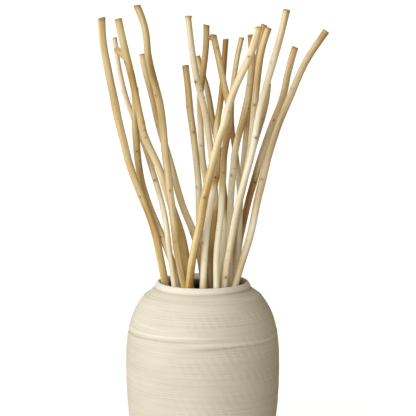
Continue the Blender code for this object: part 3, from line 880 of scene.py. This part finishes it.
def even_outline(outline):
    """The outline as (radius, height, length past the top), closely spaced outside and widely inside."""
    points = np.array(outline)
    lengths = np.concatenate([[0], np.cumsum(np.linalg.norm(np.diff(points, axis=0), axis=1))])
    top = lengths[points[:, 1].argmax()]
    inner = top + LIP_INSIDE
    stations = np.concatenate([
        np.arange(0, top, OUTSIDE_STEP), np.arange(top, inner, OUTSIDE_STEP),
        np.arange(inner, lengths[-1], INSIDE_STEP), [lengths[-1]],
    ])
    placed = np.array([np.interp(stations, lengths, column) for column in points.T])
    outside = stations < top
    cut = placed[:, outside]
    above_foot = np.clip((cut[1] - BODY[0]) / BODY_FADE, 0, 1)
    below_lip = np.clip((BODY[1] - cut[1]) / BODY_FADE, 0, 1)
    rounded = np.array([smoothed(column, OUTSIDE_STEP) for column in cut])
    placed[:, outside] = cut + above_foot * below_lip * (rounded - cut)
    return [(float(radius), float(height), s - top) for radius, height, s in zip(*placed, stations)]


def ring_noise(turn, height, scale, shift=0):
    """Noise on the vase's round, by how fast it changes round it and how tall its waves are."""
    around, tall = scale
    return noise.noise(Vector((math.cos(turn) * around + shift, math.sin(turn) * around, height / tall)))


def crossed_scratches(turn, height, patch):
    """Depth in mm of the scratches that cross on the vase's right side."""
    share = max(0.0, math.cos(turn - CROSSED_TURN)) * max(0.0, CROSSED_START + patch)
    for climb, pitch in CROSSED_SETS:
        share *= math.sin(2 * math.pi * (height + climb * turn) / pitch)
    return CROSSED_DEPTH * share


def throwing_relief(turn, height):
    """Depth of the throwing lines at a turn and height, in metres."""
    patch = ring_noise(turn, height, PATCH_SCALE, PATCH_SHIFT)
    sway = COMB_SWAY * ring_noise(turn, height, SWAY_SCALE)
    comb = math.sin(2 * math.pi * height / COMB_PITCH + turn + sway)
    lines = (COMB_DEPTH + COMB_PATCHES * patch) * comb
    lines += SCRATCH_DEPTH * ring_noise(turn, height, SCRATCH_SCALE)
    lines += BROAD_DEPTH * ring_noise(turn, height, BROAD_SCALE)
    return (lines + crossed_scratches(turn, height, patch)) * MM


def finger_lines(turn, height):
    """The raised line that the potter's finger left as it climbed round, and the grooves beside it."""
    if not FINGER_BAND[0] < height / MM < FINGER_BAND[1]:
        return 0.0
    from_front = math.degrees(turn + math.pi / 2) % 360
    raised = 0.0
    for width, stations in FINGER_LINES:
        turns, heights, raises = zip(*stations)
        for angle in (from_front - 360, from_front, from_front + 360):
            if turns[0] < angle < turns[-1]:
                off = (height / MM - np.interp(angle, turns, heights)) / width
                raised += float(np.interp(angle, turns, raises) * math.exp(-off * off))
    return raised * MM


def turned_vase():
    """The vase turned smooth from its solid's outline, with the painted shade inside its mouth."""
    outline = even_outline(seam_outline("vase"))
    vase = bmesh.new()
    inside = vase.verts.layers.float.new("inside")
    vase.verts.layers.float.new("ridge")
    corners = [vase.verts.new((radius, 0, height)) for radius, height, _ in outline]
    for corner, (_, _, past_top) in zip(corners, outline):
        # How far the painted shade inside the mouth has come in
        corner[inside] = min(max((past_top - PAINTED_SHADE_START) / PAINTED_SHADE_LENGTH, 0.0), 1.0)
    edges = [vase.edges.new(pair) for pair in zip(corners, corners[1:])]
    bmesh.ops.spin(
        vase, geom=corners + edges, cent=(0, 0, 0), axis=(0, 0, 1), angle=2 * math.pi,
        steps=TURN_STEPS, use_merge=True, use_normal_flip=False, use_duplicate=False,
    )
    bmesh.ops.remove_doubles(vase, verts=vase.verts, dist=2 * WELD)
    bmesh.ops.recalc_face_normals(vase, faces=vase.faces)
    vase.normal_update()
    return vase


def make_vase():
    """The vase, combed with throwing lines, with a painted highlight on its lip and a painted shadow under
    it.
    """
    vase = turned_vase()
    ridge = vase.verts.layers.float["ridge"]
    for vertex in vase.verts:
        height = vertex.co.z
        # The lip's painted highlight and the painted shadow in the groove under it
        vertex[ridge] = float(np.interp(height / MM, LIP_HEIGHTS, LIP_PAINTED_LIGHT_AND_SHADOW))
        faces_in = vertex.normal.to_2d().dot(vertex.co.to_2d()) <= 0
        if faces_in or not COMBED[0] < height < COMBED[1]:
            continue
        fade = min((height - COMBED[0]) / COMBED_FADES[0], (COMBED[1] - height) / COMBED_FADES[1], 1.0)
        turn = math.atan2(vertex.co.y, vertex.co.x)
        relief = fade * (throwing_relief(turn, height) + finger_lines(turn, height))
        vertex[ridge] += relief / MM
        vertex.co += vertex.normal * relief
    finish_piece(vase, "thrown_vase", "vase")


# Studio

def make_floor():
    """A wide pale floor that glows a little to the camera and throws back a dimmer, warmer light."""
    sheet = bmesh.new()
    bmesh.ops.create_circle(sheet, cap_ends=True, segments=FLOOR_SIDES, radius=FLOOR_RADIUS)
    mesh = bpy.data.meshes.new("studio_floor")
    sheet.to_mesh(mesh)
    sheet.free()
    floor = bpy.data.objects.new("studio_floor", mesh)
    bpy.context.scene.collection.objects.link(floor)
    finish, tree, shader = new_finish("studio_floor")
    shader.inputs["Base Color"].default_value = FLOOR_TONE
    shader.inputs["Roughness"].default_value = FLOOR_ROUGHNESS
    shader.inputs["Emission Color"].default_value = (1, 1, 1, 1)
    shader.inputs["Emission Strength"].default_value = FLOOR_GLOW
    dim = add_node(tree, "ShaderNodeBsdfDiffuse", values=[("Color", FLOOR_BOUNCE)])
    by_camera(tree, dim.outputs[0], shader.outputs[0], "Material Output")
    mesh.materials.append(finish)


def add_lamp(lamp):
    """A far, broad lamp, turned to the viewer's left and raised."""
    light = bpy.data.lights.new(lamp.name, "SUN")
    light.energy = lamp.energy
    light.angle = math.radians(lamp.spread)
    stand = bpy.data.objects.new(lamp.name, light)
    turn, height = math.radians(lamp.turn), math.radians(lamp.height)
    level = math.cos(height)
    shine = Vector((math.sin(turn) * level, math.cos(turn) * level, -math.sin(height)))
    stand.rotation_mode = "QUATERNION"
    stand.rotation_quaternion = shine.to_track_quat("-Z", "Y")
    stand.location = (0, 0, 2)
    bpy.context.scene.collection.objects.link(stand)


def light_studio():
    """White surroundings that give a warm fill, and the lamps."""
    world = bpy.data.worlds.new("studio_air")
    world.use_nodes = True
    tree = world.node_tree
    seen = tree.nodes["Background"]
    seen.inputs["Color"].default_value = (1, 1, 1, 1)
    fill = add_node(tree, "ShaderNodeBackground", values=[("Color", FILL_COLOUR), ("Strength", FILL)])
    by_camera(tree, fill.outputs[0], seen.outputs[0], "World Output")
    bpy.context.scene.world = world
    bpy.context.scene.view_settings.view_transform = "Standard"
    for lamp in LAMPS:
        add_lamp(lamp)


FINISHES = make_finishes()
make_camera()
make_floor()
light_studio()
make_vase()
for stem_name in sorted(BUDS):
    make_stem(stem_name)
